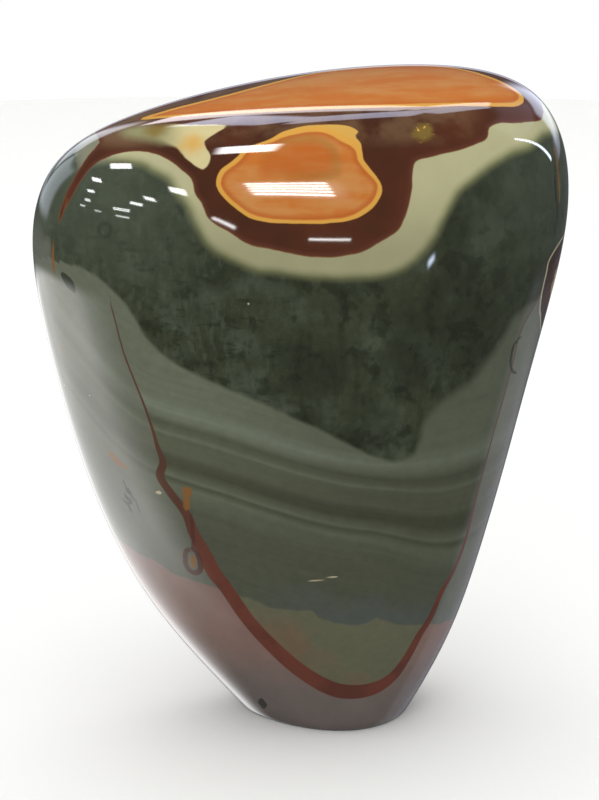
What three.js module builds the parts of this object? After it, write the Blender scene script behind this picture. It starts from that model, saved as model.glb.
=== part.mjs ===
// A polished freeform of polychrome jasper: one solid stone, ground to a broad rounded shield
// that is thick on the right, thins to a blunt edge on the left and has a sloping top.
// It stands on a small flat foot cut across its narrow end.
//
// Millimetres, +Z up. The front of the stone faces -Y and the viewer's right is +X.
// The origin is in the flat foot, below the middle of the stone.
import * as THREE from "three";
import { mergeVertices } from "three/addons/utils/BufferGeometryUtils.js";

// Each side of the stone is a ground face, and each follows a smooth profile up the stone.
// A profile is held by its reach from the upright axis at stations of equal height.
// The first station lies one step below the foot, and the last above the top.
const STATION_STEP = 25;
const FIRST_STATION = -25;
const LEFT_REACH = [8, 34, 58, 67.5, 75, 81.5, 87.5, 92.5, 84, 64, 30];
const RIGHT_REACH = [14, 28.5, 41, 47.5, 53.5, 59, 65, 70.5, 69, 56, 32];
const FRONT_REACH = [14, 23, 29.5, 35, 39, 41, 42, 41, 38, 33, 28];
const BACK_REACH = [16, 23, 28, 32, 35, 36, 37, 37, 36, 34, 32];

// How far right of the axis the front stands proudest, and the radius of its bow from side
// to side, at the same stations. Low down the front is narrow and round.
const FRONT_CROWN_X = [18, 13, 7, 5, 4, 4, 4, 4, 4, 4, 4];
const FRONT_BOW_RADIUS = [40, 50, 70, 110, 150, 190, 200, 200, 200, 200, 200];

// The back has a gentle bow over the thick right half, and a flat that slants forwards
// to the thin left edge.
const BACK_BOW_RADIUS = 160;
const BACK_CROWN_X = 15;
const BACK_SLANT = 0.5; // rise of the slanted flat for each millimetre to the right
const BACK_SLANT_REACH = 45.5; // where that flat would cross the axis, at the widest height
const WIDEST_BACK_REACH = 37; // the back's own reach at that height

// Left and right edges, bowed from front to back.
const LEFT_EDGE_RADIUS = 40;
const RIGHT_EDGE_RADIUS = 45;
const EDGE_Y = 2;

// The top face: a point on it, how it tilts up to the back and to the right, and its bows.
const TOP_POINT = new THREE.Vector3(22, 0, 189);
const TOP_PITCH = THREE.MathUtils.degToRad(6);
const TOP_ROLL = THREE.MathUtils.degToRad(2);
const TOP_BOW_RADIUS_X = 440;
const TOP_BOW_RADIUS_Y = 240;

// Where two faces meet the edge is rubbed round. A softness of 1 mm rounds a square edge
// to a radius of about 2.4 mm.
const SIDE_SOFTNESS = 9;
const TOP_SOFTNESS = 7;

const FOOT_BEVEL = 1; // small bevel round the sawn foot
const WAIST_HEIGHT = 100; // the surface is measured outwards from this point of the axis
const FARTHEST = 260; // no point of the surface is this far from there
const HALVINGS = 40; // steps of each search for the surface

const COLUMNS = 72; // facets round the stone
const RINGS = 46; // facets from the top down to the middle of the foot
const RING_CROWDING = 1.25; // over 1 sets the rings closer towards the rounded top edge
const MERGE_TOLERANCE = 1e-3; // vertices nearer than this are one

const JASPER_COLOUR = 0x4b5040;
const JASPER_ROUGHNESS = 0.08;

// Weight of a station, t stations away: the cubic B-spline.
function stationWeight(t) {
  const a = Math.abs(t);
  if (a < 1) return (4 - 6 * a ** 2 + 3 * a ** 3) / 6;
  return a < 2 ? (2 - a) ** 3 / 6 : 0;
}

// A profile's value at height z.
function profileAt(stations, z) {
  const place = (z - FIRST_STATION) / STATION_STEP;
  return stations.reduce((sum, value, i) => sum + value * stationWeight(place - i), 0);
}

// The largest of some distances, blended where two are nearly alike.
function softMax(distances, softness) {
  const largest = Math.max(...distances);
  const total = distances.reduce((sum, d) => sum + Math.exp((d - largest) / softness), 0);
  return largest + softness * Math.log(total);
}

// How far a surface bowed to a radius falls away at an offset from its crown.
const bow = (offset, radius) => offset ** 2 / (2 * radius);

// Distances of a point outside the five upright faces; negative inside.
function sideDistances({ x, y, z }) {
  const back = profileAt(BACK_REACH, z);
  const slantReach = (BACK_SLANT_REACH * back) / WIDEST_BACK_REACH;
  const frontBow = bow(x - profileAt(FRONT_CROWN_X, z), profileAt(FRONT_BOW_RADIUS, z));
  return [
    -y - profileAt(FRONT_REACH, z) + frontBow,
    y - back + bow(x - BACK_CROWN_X, BACK_BOW_RADIUS),
    (y - BACK_SLANT * x - slantReach) / Math.hypot(1, BACK_SLANT),
    -x - profileAt(LEFT_REACH, z) + bow(y - EDGE_Y, LEFT_EDGE_RADIUS),
    x - profileAt(RIGHT_REACH, z) + bow(y - EDGE_Y, RIGHT_EDGE_RADIUS),
  ];
}

const topNormal = new THREE.Vector3(-Math.tan(TOP_ROLL), -Math.tan(TOP_PITCH), 1).normalize();

// Distance of a point above the top face; negative below it.
function topDistance(point) {
  const offset = point.clone().sub(TOP_POINT);
  return offset.dot(topNormal) + bow(offset.x, TOP_BOW_RADIUS_X) + bow(offset.y, TOP_BOW_RADIUS_Y);
}

// Distance of a point outside the whole stone, foot apart.
function stoneDistance(point) {
  const sides = softMax(sideDistances(point), SIDE_SOFTNESS);
  return softMax([sides, topDistance(point)], TOP_SOFTNESS);
}

// The point where a ray from inside the stone comes out of it.
function surfacePoint(origin, direction) {
  let near = 0;
  let far = FARTHEST;
  const point = new THREE.Vector3();
  for (let i = 0; i < HALVINGS; i += 1) {
    const middle = (near + far) / 2;
    point.copy(origin).addScaledVector(direction, middle);
    if (stoneDistance(point) < 0) near = middle;
    else far = middle;
  }
  return point;
}

// The stone's skin: a unit sphere whose rings are laid down the stone from the top to the
// bevel of the foot, then across the foot to its middle.
function stoneGeometry() {
  const sphere = new THREE.SphereGeometry(1, COLUMNS, RINGS).rotateX(Math.PI / 2);
  const position = sphere.getAttribute("position");
  const waist = new THREE.Vector3(0, 0, WAIST_HEIGHT);
  const bevelTop = new THREE.Vector3(0, 0, FOOT_BEVEL);
  const lastSkinRing = RINGS - 2;
  const vertex = new THREE.Vector3();
  for (let i = 0; i < position.count; i += 1) {
    vertex.fromBufferAttribute(position, i);
    const ring = Math.round((Math.acos(THREE.MathUtils.clamp(vertex.z, -1, 1)) / Math.PI) * RINGS);
    const column = Math.round((Math.atan2(vertex.y, vertex.x) / (2 * Math.PI)) * COLUMNS);
    const azimuth = (((column + COLUMNS) % COLUMNS) / COLUMNS) * 2 * Math.PI;
    const outwards = new THREE.Vector3(Math.cos(azimuth), Math.sin(azimuth), 0);
    const edge = surfacePoint(bevelTop, outwards);
    if (ring === 0) {
      vertex.copy(surfacePoint(waist, new THREE.Vector3(0, 0, 1)));
    } else if (ring <= lastSkinRing) {
      const lowest = Math.PI - Math.atan2(edge.dot(outwards), WAIST_HEIGHT - FOOT_BEVEL);
      const polar = lowest * (ring / lastSkinRing) ** RING_CROWDING;
      const direction = outwards.multiplyScalar(Math.sin(polar)).setZ(Math.cos(polar));
      vertex.copy(surfacePoint(waist, direction));
    } else if (ring < RINGS) {
      vertex.copy(outwards).multiplyScalar(edge.dot(outwards) - FOOT_BEVEL);
    } else {
      vertex.set(0, 0, 0);
    }
    position.setXYZ(i, vertex.x, vertex.y, vertex.z);
  }
  sphere.deleteAttribute("normal");
  sphere.deleteAttribute("uv");
  const skin = mergeVertices(sphere, MERGE_TOLERANCE);
  skin.computeVertexNormals();
  return skin;
}

const jasper = new THREE.MeshStandardMaterial({
  color: JASPER_COLOUR,
  roughness: JASPER_ROUGHNESS,
  metalness: 0,
});

const stone = new THREE.Mesh(stoneGeometry(), jasper);
stone.name = "stone";

const freeform = new THREE.Group();
freeform.add(stone);

export default freeform;
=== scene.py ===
"""A polished freeform of polychrome jasper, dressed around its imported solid.

The stone's skin is laid out from the same ground faces as the solid, much finer. Each boundary in the
rock is an outline drawn on that skin in millimetres. The distance of every vertex from each outline
is kept with the mesh, and the finish turns those distances into colour.
"""

import logging
import math
from dataclasses import dataclass, field
from enum import Enum
from functools import lru_cache

import bpy
import numpy as np
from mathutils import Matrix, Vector

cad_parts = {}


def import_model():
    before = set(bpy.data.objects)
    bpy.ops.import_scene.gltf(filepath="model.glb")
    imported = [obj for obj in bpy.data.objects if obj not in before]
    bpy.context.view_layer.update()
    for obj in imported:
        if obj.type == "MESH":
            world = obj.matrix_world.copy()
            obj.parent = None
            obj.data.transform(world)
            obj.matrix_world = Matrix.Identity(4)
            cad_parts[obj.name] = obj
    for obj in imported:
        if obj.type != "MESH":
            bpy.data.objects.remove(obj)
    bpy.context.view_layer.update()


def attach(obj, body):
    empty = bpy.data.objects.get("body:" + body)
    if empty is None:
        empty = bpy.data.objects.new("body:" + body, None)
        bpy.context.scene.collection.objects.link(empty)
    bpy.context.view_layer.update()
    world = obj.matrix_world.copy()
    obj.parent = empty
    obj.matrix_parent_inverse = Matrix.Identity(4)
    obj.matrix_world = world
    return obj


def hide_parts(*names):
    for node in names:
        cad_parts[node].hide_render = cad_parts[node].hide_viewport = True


MM = 0.001
TINY = 1e-9
NOISE_ROUGHNESS = 0.55
log = logging.getLogger("freeform")

Pair = tuple[float, float]
Triple = tuple[float, float, float]
Colour = tuple[float, float, float, float]
Values = tuple[float, ...]
Points = list[Pair]
Stops = list[tuple[float, Colour]]
Faces = list[tuple[int, ...]]


class Side(Enum):
    """The direction that an outline is drawn from, and which two measures its points hold."""

    BROW = "x, and height and depth added, seen halfway between the front and the top"
    FRONT = "x and height"
    BACK = "x and height, on the back"
    LEFT = "y and height"
    RIGHT = "y and height, on the right"
    TOP = "x and y"


class Fade(Enum):
    """How a mask falls off between its two ends."""

    EVEN = "LINEAR"
    SOFT = "SMOOTHSTEP"


@lru_cache(maxsize=None)
def spline_ladder(stations: Values, steps: int) -> tuple[np.ndarray, np.ndarray]:
    """A cubic B-spline over stations, worked out at close steps.

    Args:
        stations: The values at the stations.
        steps: Steps from one station to the next.

    Returns:
        The places, counted in stations, and the values there.
    """
    ladder = np.arange(len(stations) * steps) / steps
    values = np.zeros_like(ladder)
    for index, value in enumerate(stations):
        away = np.abs(ladder - index)
        near = (4 - 6 * away**2 + 3 * away**3) / 6
        far = (2 - away) ** 3 / 6
        values += value * np.where(away < 1, near, np.where(away < 2, far, 0))
    return ladder, values


@dataclass(frozen=True)
class StoneForm:
    """The ground faces of the stone, in millimetres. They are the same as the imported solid's."""

    station_step: float = 25
    first_station: float = -25
    left_reach: Values = (8, 34, 58, 67.5, 75, 81.5, 87.5, 92.5, 84, 64, 30)
    right_reach: Values = (14, 28.5, 41, 47.5, 53.5, 59, 65, 70.5, 69, 56, 32)
    front_reach: Values = (14, 23, 29.5, 35, 39, 41, 42, 41, 38, 33, 28)
    back_reach: Values = (16, 23, 28, 32, 35, 36, 37, 37, 36, 34, 32)
    front_crown_x: Values = (18, 13, 7, 5, 4, 4, 4, 4, 4, 4, 4)
    front_bow_radius: Values = (40, 50, 70, 110, 150, 190, 200, 200, 200, 200, 200)
    back_bow_radius: float = 160
    back_crown_x: float = 15
    back_slant: float = 0.5
    back_slant_reach: float = 45.5
    widest_back_reach: float = 37
    left_edge_radius: float = 40
    right_edge_radius: float = 45
    edge_y: float = 2
    top_point: Triple = (22, 0, 189)
    top_pitch: float = math.radians(6)
    top_roll: float = math.radians(2)
    top_bow_radius_x: float = 440
    top_bow_radius_y: float = 240
    side_softness: float = 9
    top_softness: float = 7
    foot_bevel: float = 1
    waist_height: float = 100
    farthest: float = 260
    halvings: int = 22
    ladder_steps: int = 100
    brow_start_y: float = 10
    brow_shift: float = 40

    def profile(self, stations: Values, z: np.ndarray) -> np.ndarray:
        """A profile's value at each height, as a cubic B-spline over its stations.

        Args:
            stations: The values at stations of equal height.
            z: Heights.

        Returns:
            The values at those heights.
        """
        place = (z - self.first_station) / self.station_step
        return np.interp(place, *spline_ladder(stations, self.ladder_steps))

    @staticmethod
    def soft_max(distances: list[np.ndarray], softness: float) -> np.ndarray:
        """The largest of some distances, blended where two are nearly alike.

        Args:
            distances: Arrays of equal shape.
            softness: Width of the blend.

        Returns:
            The blended largest values.
        """
        largest = np.max(distances, axis=0)
        return largest + softness * np.log(sum(np.exp((d - largest) / softness) for d in distances))

    def outside(self, points: np.ndarray) -> np.ndarray:
        """How far each point is outside the stone, foot apart; negative inside.

        Args:
            points: Rows of x, y and z.

        Returns:
            One value for each point.
        """
        x, y, z = points[..., 0], points[..., 1], points[..., 2]
        back = self.profile(self.back_reach, z)
        slant_reach = self.back_slant_reach * back / self.widest_back_reach
        front_fall = (x - self.profile(self.front_crown_x, z)) ** 2
        edge_fall = (y - self.edge_y) ** 2 / 2
        sides = self.soft_max(
            [
                -y - self.profile(self.front_reach, z)
                + front_fall / (2 * self.profile(self.front_bow_radius, z)),
                y - back + (x - self.back_crown_x) ** 2 / (2 * self.back_bow_radius),
                (y - self.back_slant * x - slant_reach) / math.hypot(1, self.back_slant),
                -x - self.profile(self.left_reach, z) + edge_fall / self.left_edge_radius,
                x - self.profile(self.right_reach, z) + edge_fall / self.right_edge_radius,
            ],
            self.side_softness,
        )
        normal = np.array([-math.tan(self.top_roll), -math.tan(self.top_pitch), 1])
        normal /= np.linalg.norm(normal)
        offset = points - np.array(self.top_point)
        top = (
            offset @ normal
            + offset[..., 0] ** 2 / (2 * self.top_bow_radius_x)
            + offset[..., 1] ** 2 / (2 * self.top_bow_radius_y)
        )
        return self.soft_max([sides, top], self.top_softness)

    def surface(self, starts: np.ndarray, directions: np.ndarray) -> np.ndarray:
        """Where rays from inside the stone come out of it.

        Args:
            starts: One start, or one for each ray.
            directions: The rays' unit directions.

        Returns:
            One point for each ray.
        """
        near = np.zeros(len(directions))
        far = np.full(len(directions), self.farthest, float)
        for _ in range(self.halvings):
            middle = (near + far) / 2
            inside = self.outside(starts + directions * middle[:, None]) < 0
            near = np.where(inside, middle, near)
            far = np.where(inside, far, middle)
        return starts + directions * near[:, None]

    def drawn(self, side: Side, marks: Points) -> np.ndarray:
        """Points drawn on one side of the stone, set down on its surface.

        Args:
            side: The side that they are drawn from.
            marks: Pairs of measures in millimetres.

        Returns:
            Rows of x, y and z on the surface.
        """
        a, b = np.array(marks, float).T
        none = np.zeros_like(a)
        starts, way = {
            Side.BROW: ((a, none + self.brow_start_y, b - self.brow_shift - self.brow_start_y), (0, -1, 1)),
            Side.FRONT: ((a, none, b), (0, -1, 0)),
            Side.BACK: ((a, none, b), (0, 1, 0)),
            Side.LEFT: ((none, a, b), (-1, 0, 0)),
            Side.RIGHT: ((none, a, b), (1, 0, 0)),
            Side.TOP: ((a, b, none + self.waist_height), (0, 0, 1)),
        }[side]
        direction = np.array(way, float) / np.linalg.norm(way)
        starts = np.stack(starts, axis=1)
        return self.surface(starts, np.tile(direction, (len(a), 1)))

    def flattened(self, points: np.ndarray) -> np.ndarray:
        """The surface laid flat round its top: each point's bearing and angle from straight up.

        Args:
            points: Rows of x, y and z.

        Returns:
            Rows of two plane coordinates.
        """
        offset = points - np.array([0, 0, self.waist_height])
        bearing = np.arctan2(offset[..., 1], offset[..., 0])
        angle = np.arctan2(np.hypot(offset[..., 0], offset[..., 1]), offset[..., 2])
        return np.stack([angle * np.cos(bearing), angle * np.sin(bearing)], axis=-1)


@dataclass(frozen=True)
class Outline:
    """A line in the rock where one colour meets another, drawn in stretches round the stone."""

    stretches: tuple[tuple[Side, Points], ...]
    closed: bool = True
    steps: int = 5
    reach: float = 14

    def traced(self, form: StoneForm) -> np.ndarray:
        """The line as close points, curved smoothly through the drawn ones.

        Args:
            form: The stone that it lies on.

        Returns:
            Rows of x, y and z, the first repeated last where the line is closed.
        """
        drawn = np.concatenate([form.drawn(side, marks) for side, marks in self.stretches])
        if self.closed:
            ends = np.concatenate([drawn[-1:], drawn, drawn[:2]])
        else:
            ends = np.concatenate([2 * drawn[:1] - drawn[1:2], drawn, 2 * drawn[-1:] - drawn[-2:-1]])
        before, start, end, after = ends[:-3], ends[1:-2], ends[2:-1], ends[3:]
        line = []
        for t in np.arange(self.steps) / self.steps:
            line.append(
                (
                    2 * start
                    + (end - before) * t
                    + (2 * before - 5 * start + 4 * end - after) * t**2
                    + (3 * start - before - 3 * end + after) * t**3
                )
                / 2
            )
        line = np.stack(line, axis=1).reshape(-1, 3)
        return np.concatenate([line, end[-1:]])

    def distances(self, form: StoneForm, points: np.ndarray) -> tuple[np.ndarray, np.ndarray]:
        """How far points are from the line, up to its reach, and where along it they are nearest.

        Args:
            form: The stone that it lies on.
            points: Rows of x, y and z on the stone.

        Returns:
            The distances, negative inside a closed line, and the places, counted in drawn points.
        """
        line = self.traced(form)
        nearest = np.full(len(points), float(self.reach))
        place = np.zeros(len(points))
        for first in range(0, len(line) - 1, self.steps):
            run = line[first : first + self.steps + 1]
            low, high = run.min(axis=0) - self.reach, run.max(axis=0) + self.reach
            around = np.flatnonzero(((points > low) & (points < high)).all(axis=1))
            close = points[around]
            for index, (a, b) in enumerate(zip(run[:-1], run[1:])):
                along = b - a
                share = np.clip((close - a) @ along / max(along @ along, TINY), 0, 1)
                gap = np.linalg.norm(close - a - share[:, None] * along, axis=1)
                closer = gap < nearest[around]
                nearest[around[closer]] = gap[closer]
                place[around[closer]] = (first + index + share[closer]) / self.steps
        if self.closed:
            nearest = np.where(self.holds(form, line, points), -nearest, nearest)
        return nearest, place

    @staticmethod
    def holds(form: StoneForm, line: np.ndarray, points: np.ndarray) -> np.ndarray:
        """Whether each point is inside the closed line, on the side of the stone's top.

        Args:
            form: The stone that it lies on.
            line: The traced line.
            points: Rows of x, y and z on the stone.

        Returns:
            True for each point inside.
        """
        loop, plane = form.flattened(line), form.flattened(points)
        crossings = np.zeros(len(points), int)
        for a, b in zip(loop[:-1], loop[1:]):
            spans = (a[1] > plane[:, 1]) != (b[1] > plane[:, 1])
            rise = b[1] - a[1] if b[1] != a[1] else TINY
            at = a[0] + (plane[:, 1] - a[1]) / rise * (b[0] - a[0])
            crossings += spans & (plane[:, 0] < at)
        return crossings % 2 == 1


@dataclass(frozen=True)
class Stroke:
    """A narrow mark in the rock that comes to a point at both ends."""

    side: Side
    marks: Points
    half_width: float
    bluntness: float = 5

    def outside(self, form: StoneForm, points: np.ndarray) -> np.ndarray:
        """How far points are outside the mark.

        Args:
            form: The stone that it lies on.
            points: Rows of x, y and z on the stone.

        Returns:
            One value for each point, negative in the mark.
        """
        gap, place = Outline(((self.side, self.marks),), False).distances(form, points)
        from_middle = np.abs(2 * place / (len(self.marks) - 1) - 1)
        return gap - self.half_width * (1 - from_middle**self.bluntness)


@dataclass(frozen=True)
class Markings:
    """Every boundary in the rock: the front and top after the real stone, the back in its manner."""

    cream_edge: Outline = Outline(
        (
            (Side.BROW, [(-48.5, 180), (-45.6, 177), (-42, 173.4), (-40, 169), (-37, 164), (-35, 158),
                         (-31, 151), (-25, 146), (-18, 142), (-12, 141), (-1, 139), (7, 139),
                         (15, 140), (22, 143), (27, 148), (30, 153), (32, 158), (36, 167),
                         (40, 172), (44, 177), (50, 184), (56, 190), (60, 198)]),
            (Side.RIGHT, [(-4, 172), (6, 168), (18, 165)]),
            (Side.BACK, [(52, 164), (40, 158), (28, 146), (14, 136), (0, 132), (-14, 136), (-26, 146),
                         (-38, 152), (-52, 156), (-64, 160)]),
            (Side.LEFT, [(6, 168), (-4, 172)]),
            (Side.BROW, [(-66, 185), (-62, 185.5), (-58, 184.4), (-53, 182.4)]),
        )
    )
    brown_edge: Outline = Outline(
        (
            (Side.BROW, [(-35, 173), (-34, 168), (-32, 164), (-30, 159), (-25, 155), (-20, 151),
                         (-14, 149), (-9, 147.6), (-3, 146.3), (3, 146.2), (10, 147.8), (15, 151), (19, 154),
                         (21, 158), (22, 162), (23, 167), (23, 171), (24, 176), (28, 178), (32, 180),
                         (36, 182), (39, 184), (43, 188), (44, 193), (47, 196), (51, 198), (56, 202),
                         (59, 206), (60, 211)]),
            (Side.TOP, [(60, -2), (58, 8)]),
            (Side.BACK, [(52, 178), (44, 174), (34, 166), (24, 154), (12, 147), (-2, 147),
                         (-12, 154), (-20, 164), (-32, 168), (-44, 170), (-56, 171)]),
            (Side.TOP, [(-62, 2)]),
            (Side.BROW, [(-61, 200), (-61.5, 195), (-63.4, 191.6), (-66.2, 185.6), (-68.8, 180.6),
                         (-70.4, 176.5), (-71.8, 172.6), (-72.6, 168), (-72.2, 168.4), (-69.8, 173),
                         (-67.4, 177.3), (-64.8, 182), (-61.6, 186.2), (-57.4, 188.1), (-53.6, 188.4),
                         (-49.7, 187.6), (-45.8, 185.5), (-42, 182.4), (-39, 178.5)]),
        )
    )
    eye_edge: Outline = Outline(
        (
            (Side.BROW, [(-28.6, 171.5), (-27.2, 175), (-24.5, 177.5), (-22.2, 180), (-21.2, 182),
                         (-14.5, 185.5), (-11, 188.5), (-7, 190.2), (-3.5, 191), (1.5, 191),
                         (5.5, 190.3), (7.7, 188.8), (9, 186.8), (8.2, 185), (9.6, 182),
                         (10, 178.5), (10.6, 175.5), (13.4, 171), (15.2, 167), (14.3, 163.2),
                         (11.4, 159.4), (7, 156.8), (1, 155.9), (-7, 156), (-14.4, 156.8),
                         (-20, 158.8), (-25.2, 164), (-28, 168.2)]),
        )
    )
    eye_core_edge: Outline = Outline(
        (
            (Side.BROW, [(-27.2, 171.2), (-25.8, 174.2), (-23.2, 176.5), (-21, 179.4), (-20, 181.6),
                         (-17, 183), (-13.8, 184), (-10.6, 186), (-7, 187), (-4.4, 187.6),
                         (-0.6, 187.2), (2.2, 185.4), (4.4, 183.2), (7.2, 180.8), (8.4, 178.4),
                         (8.8, 175.8), (11.4, 171.6), (13.6, 168.6), (14, 166.6), (13, 163.4),
                         (10.4, 160.4), (6.2, 157.9), (0.6, 157.1), (-7, 157.1), (-14.2, 158),
                         (-19.6, 160), (-24.4, 164.8), (-26.8, 168.6)]),
        )
    )
    eye_heart_edge: Outline = Outline(
        (
            (Side.BROW, [(-17, 172), (-16.5, 179), (-12, 183.5), (-6, 185.5), (-1, 184.5),
                         (2.5, 181), (3.8, 175), (3, 170.5), (-3, 169.5), (-11, 169.8)]),
        )
    )
    top_eye_edge: Outline = Outline(
        (
            (Side.BROW, [(-50, 208.5), (-40, 205), (-25, 202), (-10, 200.5), (5, 200), (20, 200),
                         (31, 201), (42, 203), (48, 205), (52.5, 208)]),
            (Side.TOP, [(54.5, -10), (53.5, -6), (48, 0), (41, 7), (33, 13), (22, 15), (10, 14),
                        (-2, 11), (-12, 5), (-22, -1), (-32, -5), (-42, -7)]),
        )
    )
    cream_strip_edge: Outline = Outline(
        (
            (Side.BROW, [(-26, 194.8), (-28.7, 190.8), (-31.4, 187.8), (-31.4, 185), (-29.9, 180),
                         (-32, 175.8), (-36.2, 180.6), (-39.3, 186.2), (-43, 189.5), (-48, 193),
                         (-53, 197), (-54.5, 201.5), (-51, 202.6), (-41.3, 200), (-34.9, 197.4)]),
        )
    )
    vein: Outline = Outline(
        (
            (Side.FRONT, [(-60, 136), (-57, 130), (-54, 118), (-50, 107), (-47, 98), (-45.5, 92),
                          (-44, 87), (-45, 83), (-43, 79), (-38, 72), (-36, 66), (-33, 59.5),
                          (-30.5, 53.5), (-27, 48.5), (-21, 38.5), (-14, 30), (-7, 23), (0, 18),
                          (6, 15.5), (14, 15.5), (20, 18.5), (24, 24), (28, 32), (31, 37), (34, 45),
                          (37, 50), (40, 58), (42, 67), (43.5, 75), (45.5, 84), (47.5, 93),
                          (49.5, 101), (52, 112), (55, 124)]),
            (Side.RIGHT, [(-14, 136), (-4, 142), (8, 134), (18, 120)]),
            (Side.BACK, [(50, 104), (42, 86), (32, 66), (22, 52), (10, 44), (-2, 43), (-14, 50),
                         (-24, 64), (-34, 82), (-44, 96), (-56, 108), (-66, 122)]),
            (Side.LEFT, [(4, 138), (-6, 146), (-14, 146)]),
        )
    )
    dark_edge: Outline = Outline(
        (
            (Side.FRONT, [(-66, 141), (-61.2, 139), (-56.9, 135.6), (-53.1, 132), (-50.7, 128.2),
                          (-48.3, 123.9), (-45.6, 121), (-42.7, 118.5), (-38.6, 116), (-34.3, 114),
                          (-25.7, 110.3), (-17, 106.7), (-8, 102.4), (0, 98.8), (6, 95.6), (11, 92.6),
                          (16, 90.5), (20, 89.5), (24, 91), (26, 95), (27, 100), (30, 104), (34, 107),
                          (39, 110), (43, 114), (47, 119), (50, 124), (54, 128)]),
            (Side.RIGHT, [(-8, 132), (6, 126)]),
            (Side.BACK, [(52, 118), (40, 110), (26, 104), (12, 106), (-2, 98), (-18, 92), (-34, 98),
                         (-50, 112), (-62, 130)]),
            (Side.LEFT, [(0, 138), (-10, 140)]),
        )
    )
    right_eye_edge: Outline = Outline(
        ((Side.RIGHT, [(-14.8, 124), (-17, 127), (-18.2, 131.5), (-18.2, 137), (-18.2, 140.5), (-15, 143.5),
                       (-9, 145.5), (0, 145), (8, 141), (10, 131), (7, 122), (-1, 116), (-9, 118)]),)
    )
    back_eye_edge: Outline = Outline(
        ((Side.BACK, [(-6, 160), (2, 154), (14, 153), (24, 158), (30, 166), (34, 174), (26, 178),
                      (14, 176), (4, 178), (-6, 176), (-10, 168)]),)
    )
    vein_widths: Values = (
        -0.4, 0.3, 0.4, 0.5, 0.7, 1.2, 2.2, 2.6, 2.4, 2.8, 3.3, 4.2, 4.8, 4.4, 4.4, 4.8, 5.0, 5.2, 5.4,
        5.0, 4.0, 3.2, 2.7, 2.4, 2.0, 1.6, 1.2, 0.9, 0.7, 0.6, 0.5, 0.5, 0.4, 0.4, 0.5, 0.9, 1.4, 1.6,
        2.0, 2.4, 2.8, 3.4, 3.8, 3.4, 3.0, 2.4, 2.0, 1.6, 1.2, 0.6, -0.2, -0.6, -0.8,
    )
    wavy_line: tuple[Pair, ...] = (
        (-60, 58), (-53, 55), (-48, 54), (-43, 51), (-38, 50), (-28, 48), (-20, 46), (-14, 43.6), (-7, 43.4),
        (-3, 43.8), (-1, 41), (7, 38.6), (12, 39), (15, 40.3), (18, 39), (22, 37), (30, 35), (40, 31),
        (60, 26),
    )
    dark_strokes: tuple[Stroke, ...] = (
        Stroke(Side.FRONT, [(-55.9, 79.6), (-54.9, 76.7), (-55.4, 73.9), (-53.9, 73), (-54.4, 70.7),
                            (-52.8, 67.8)], 0.34),
        Stroke(Side.FRONT, [(-54.3, 77), (-52.7, 73.3), (-51.7, 70.6), (-51.1, 67)], 0.32),
        Stroke(Side.FRONT, [(-57, 73.4), (-55, 72), (-53.2, 74.6), (-51.6, 71)], 0.3),
        Stroke(Side.FRONT, [(-71.5, 138.9), (-69.9, 137), (-68.5, 135.4), (-67.3, 133.3)], 1.4, 2),
        Stroke(Side.FRONT, [(55, 121), (52.5, 119), (51.5, 115), (52, 111), (54, 109)], 0.45),
        Stroke(Side.FRONT, [(-17.4, 9.3), (-17.3, 4.4)], 1.7, 1.5),
        Stroke(Side.RIGHT, [(-15.5, 168), (-17, 161), (-16.4, 153), (-17.6, 147)], 0.5),
        Stroke(Side.RIGHT, [(-11, 164), (-12.6, 157), (-12, 150)], 0.4),
        Stroke(Side.BACK, [(30, 92), (33, 88), (32, 84), (35, 80)], 0.5),
        Stroke(Side.BACK, [(34, 90), (36, 85), (39, 82)], 0.4),
    )
    ochre_strokes: tuple[Stroke, ...] = (
        Stroke(Side.FRONT, [(-37.5, 80.6), (-37.4, 77.4)], 1.5),
        Stroke(Side.FRONT, [(-37.5, 78.6), (-37.9, 72.8)], 1.0),
        Stroke(Side.FRONT, [(-36.3, 58.6), (-36.5, 54)], 0.9),
        Stroke(Side.FRONT, [(-60, 88.4), (-57.9, 85.6), (-54, 83.2)], 0.95, 3),
        Stroke(Side.FRONT, [(-73, 118.5), (-72.5, 114.5)], 0.6),
        Stroke(Side.FRONT, [(-72.4, 150), (-73.6, 142), (-72.8, 134)], 0.5),
        Stroke(Side.RIGHT, [(-13.5, 172), (-14.6, 164), (-15, 155)], 0.6),
        Stroke(Side.BACK, [(-30, 70), (-27, 66), (-26, 60)], 1.6, 3),
    )
    brown_strokes: tuple[Stroke, ...] = (
        Stroke(Side.FRONT, [(-36.6, 73), (-36.2, 65), (-36.2, 59)], 0.5),
        Stroke(Side.FRONT, [(-36.3, 60.9), (-38.3, 59.5), (-38.5, 54.7), (-36.4, 52.4), (-34.3, 54.2),
                            (-34.9, 58.5), (-36.2, 60.9)], 0.75),
        Stroke(Side.BROW, [(-50, 208), (-55, 207), (-60, 204)], 0.6),
        Stroke(Side.BROW, [(-52, 211), (-57, 210.5), (-61, 208)], 0.5),
    )
    pale_strokes: tuple[Stroke, ...] = (
        Stroke(Side.FRONT, [(-5.6, 53.4), (-0.3, 53.9), (4.2, 54.7)], 0.45),
        Stroke(Side.FRONT, [(-46.4, 77.5), (-44.7, 77.5)], 0.6),
        Stroke(Side.FRONT, [(-67.5, 160), (-66, 163), (-64.5, 166)], 0.35),
    )

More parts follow.
